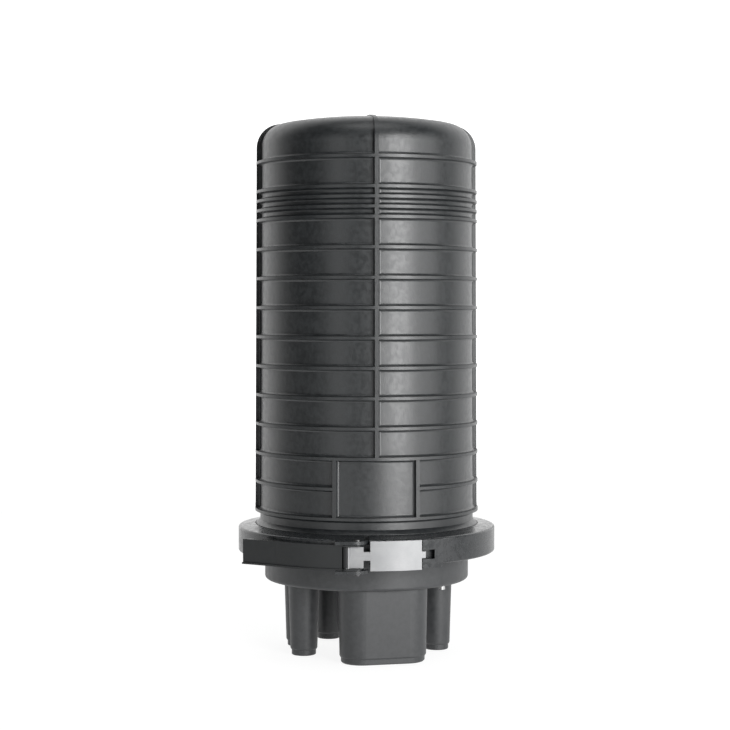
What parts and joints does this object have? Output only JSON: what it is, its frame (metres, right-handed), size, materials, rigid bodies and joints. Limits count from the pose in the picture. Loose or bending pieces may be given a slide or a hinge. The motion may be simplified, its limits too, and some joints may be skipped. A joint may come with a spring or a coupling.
{
  "type": "dome splice closure",
  "caption": "Ribbed black dome on a grey ported base, held by a hinged hoop with an over-centre latch, with a splice tray organiser inside.",
  "frame": {"origin": "on the closure's axis, in the plane of the port ends", "axes": "+Z along the axis towards the dome's crown, -Y towards the latch, +X to the right as the latch is faced"},
  "size_m": [0.2046, 0.2184, 0.4248],
  "materials": {
    "dome_plastic": "charcoal-black ribbed moulding with a fine grain",
    "base_plastic": "grey moulding with a fine grain",
    "seal_rubber": "smooth black rubber",
    "hoop_plastic": "charcoal glass-filled moulding",
    "lever_plastic": "black moulded lever",
    "link_steel": "satin stainless steel",
    "pin_steel": "turned stainless steel",
    "screw_steel": "bright zinc-plated steel",
    "frame_steel": "folded stainless sheet",
    "clamp_steel": "milled steel blocks",
    "rack_plastic": "dark grey moulding",
    "tray_plastic": "light grey moulded tray",
    "holder_plastic": "white moulded comb",
    "cover_clear": "clear moulded cover",
    "strap_fabric": "woven hook-and-loop strap",
    "basket_plastic": "light grey moulded basket"
  },
  "bodies": {
    "closure": {"dome": "dome_plastic", "base": "base_plastic", "seal_ring": "seal_rubber", "hoop_left": "hoop_plastic", "hoop_hinge_pin": "pin_steel", "latch_rivets": "pin_steel", "earth_screw": "screw_steel", "earth_washer": "screw_steel", "support_frame": "frame_steel", "frame_screws": "screw_steel", "strength_clamps": "clamp_steel", "clamp_screws": "screw_steel", "tray_rack": "rack_plastic", "tray_pins": "pin_steel", "splice_tray_1": "tray_plastic", "splice_tray_2": "tray_plastic", "splice_tray_3": "tray_plastic", "splice_tray_4": "tray_plastic", "splice_holder_1": "holder_plastic", "splice_holder_2": "holder_plastic", "splice_holder_3": "holder_plastic", "splice_holder_4": "holder_plastic", "tray_cover": "cover_clear", "tray_strap": "strap_fabric", "storage_basket": "basket_plastic"},
    "right_half": {"hoop_right": "hoop_plastic"},
    "lever": {"latch_lever": "lever_plastic", "link_pin": "pin_steel"},
    "link": {"latch_link": "link_steel"}
  },
  "joints": [
    {"name": "lever_swing", "type": "hinge", "parent": "closure", "child": "lever", "pos_m": [-0.007, -0.1054, 0.0872], "axis": [0, 0, 1], "range_deg": [0, 130]},
    {"name": "link_swing", "type": "hinge", "parent": "lever", "child": "link", "pos_m": [-0.015, -0.10575, 0.0872], "axis": [0, 0, 1], "range_deg": [-130, 0]},
    {"name": "hoop_swing", "type": "hinge", "parent": "closure", "child": "right_half", "pos_m": [0, 0.1049, 0.09], "axis": [0, 0, 1], "range_deg": [0, 2]}
  ],
  "couplings": [
    {"joint": "link_swing", "follows": "lever_swing", "ratio": -1},
    {"joint": "hoop_swing", "follows": "lever_swing", "ratio": 0.015}
  ]
}
